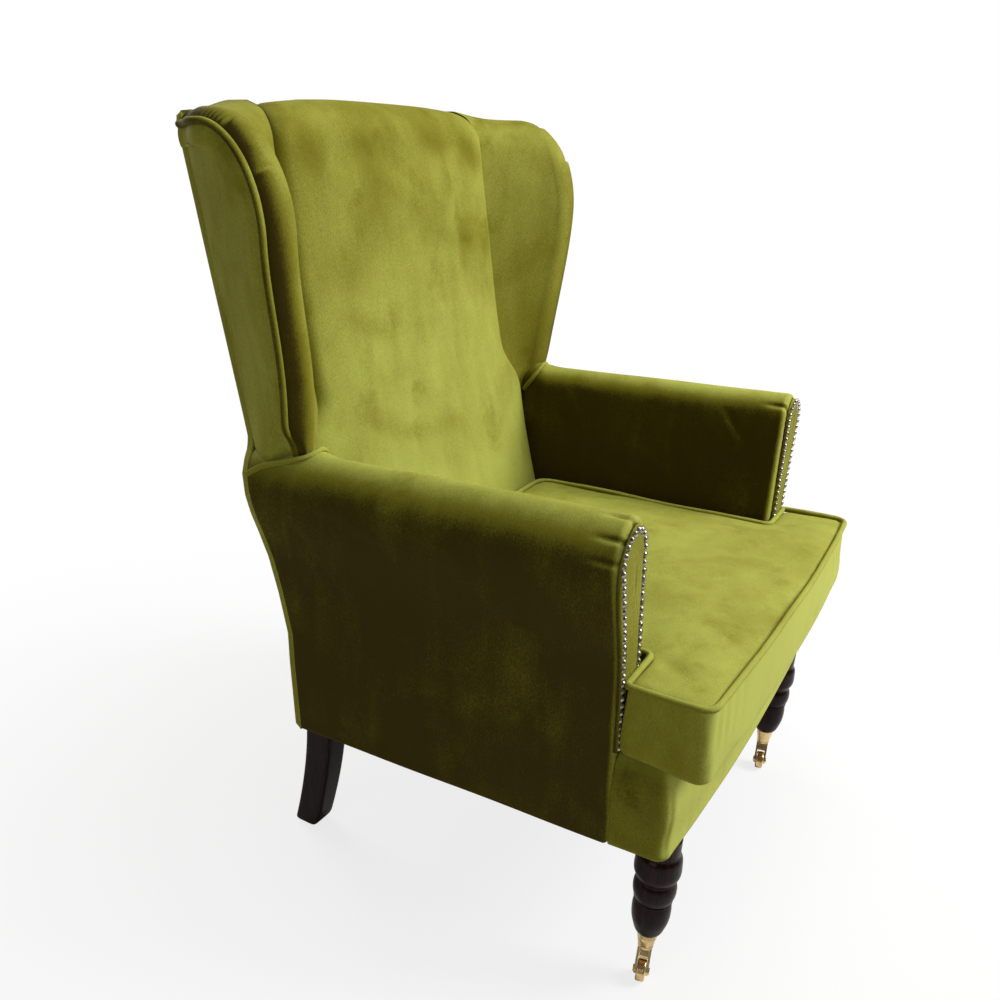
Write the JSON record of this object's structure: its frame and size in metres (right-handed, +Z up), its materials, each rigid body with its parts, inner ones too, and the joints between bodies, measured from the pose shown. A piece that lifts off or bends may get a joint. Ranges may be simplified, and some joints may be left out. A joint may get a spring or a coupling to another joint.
{
  "type": "wing armchair",
  "caption": "High back wing armchair in moss green velvet, with rolled arms, nailed arm fronts, a loose seat cushion, turned front legs on brass castors and swept rear legs.",
  "frame": {"origin": "middle of the footprint on the floor", "axes": "+Z up, -Y towards the front of the chair, +X to the sitter's left"},
  "size_m": [0.8068, 0.7849, 1.0628],
  "materials": {
    "velvet": "cut velvet pile, moss green",
    "piping": "self-piping in the same velvet",
    "platform_cloth": "plain woven platform cloth",
    "leg_wood": "polished dark mahogany",
    "brass": "polished",
    "nail_metal": "antique silver",
    "frame_wood": "sawn beech",
    "spring_steel": "drawn wire",
    "webbing": "woven strap",
    "dust_cloth": "thin black non-woven"
  },
  "bodies": {
    "chair": {"arm_facing_left": "velvet", "arm_facing_right": "velvet", "arm_post_left": "frame_wood", "arm_post_right": "frame_wood", "arm_rail_left": "frame_wood", "arm_rail_right": "frame_wood", "back_post_left": "frame_wood", "back_post_right": "frame_wood", "back_webbing": "webbing", "castor_cup_left": "brass", "castor_cup_right": "brass", "castor_screws": "brass", "corner_blocks": "frame_wood", "dust_cover": "dust_cloth", "facing_nails_left": "nail_metal", "facing_nails_right": "nail_metal", "front_border": "velvet", "front_leg_left": "leg_wood", "front_leg_right": "leg_wood", "front_seat_rail": "frame_wood", "inside_arm_left": "velvet", "inside_arm_right": "velvet", "inside_back": "velvet", "inside_wing_left": "velvet", "inside_wing_right": "velvet", "leg_bolts": "spring_steel", "lower_back_rail": "frame_wood", "outside_arm_left": "velvet", "outside_arm_right": "velvet", "outside_back": "velvet", "outside_wing_left": "velvet", "outside_wing_right": "velvet", "rear_leg_left": "leg_wood", "rear_leg_right": "leg_wood", "rear_seat_rail": "frame_wood", "seat_platform": "platform_cloth", "seat_springs": "spring_steel", "side_seat_rail_left": "frame_wood", "side_seat_rail_right": "frame_wood", "spring_clips": "spring_steel", "top_back_rail": "frame_wood", "wing_frame_left": "frame_wood", "wing_frame_right": "frame_wood", "wing_piping_left": "piping", "wing_piping_right": "piping"},
    "cushion": {"seat_cushion": "velvet", "cushion_piping": "piping"},
    "castor_right": {"castor_horn_right": "brass", "castor_axle_right": "brass"},
    "wheel_right": {"castor_wheel_right": "brass"},
    "castor_left": {"castor_horn_left": "brass", "castor_axle_left": "brass"},
    "wheel_left": {"castor_wheel_left": "brass"}
  },
  "joints": [
    {"name": "cushion_lift", "type": "slide", "parent": "chair", "child": "cushion", "axis": [0, 0.0384, 0.9993], "range_m": [0, 0.32]},
    {"name": "castor_right_swivel", "type": "hinge", "parent": "chair", "child": "castor_right", "pos_m": [-0.284, -0.32807, 0.05], "axis": [0, 0, 1], "continuous": true},
    {"name": "castor_left_swivel", "type": "hinge", "parent": "chair", "child": "castor_left", "pos_m": [0.284, -0.32807, 0.05], "axis": [0, 0, 1], "continuous": true},
    {"name": "wheel_right_spin", "type": "hinge", "parent": "castor_right", "child": "wheel_right", "pos_m": [-0.29764, -0.33122, 0.015], "axis": [-0.225, 0.9744, 0], "continuous": true},
    {"name": "wheel_left_spin", "type": "hinge", "parent": "castor_left", "child": "wheel_left", "pos_m": [0.27036, -0.33122, 0.015], "axis": [-0.225, 0.9744, 0], "continuous": true}
  ]
}
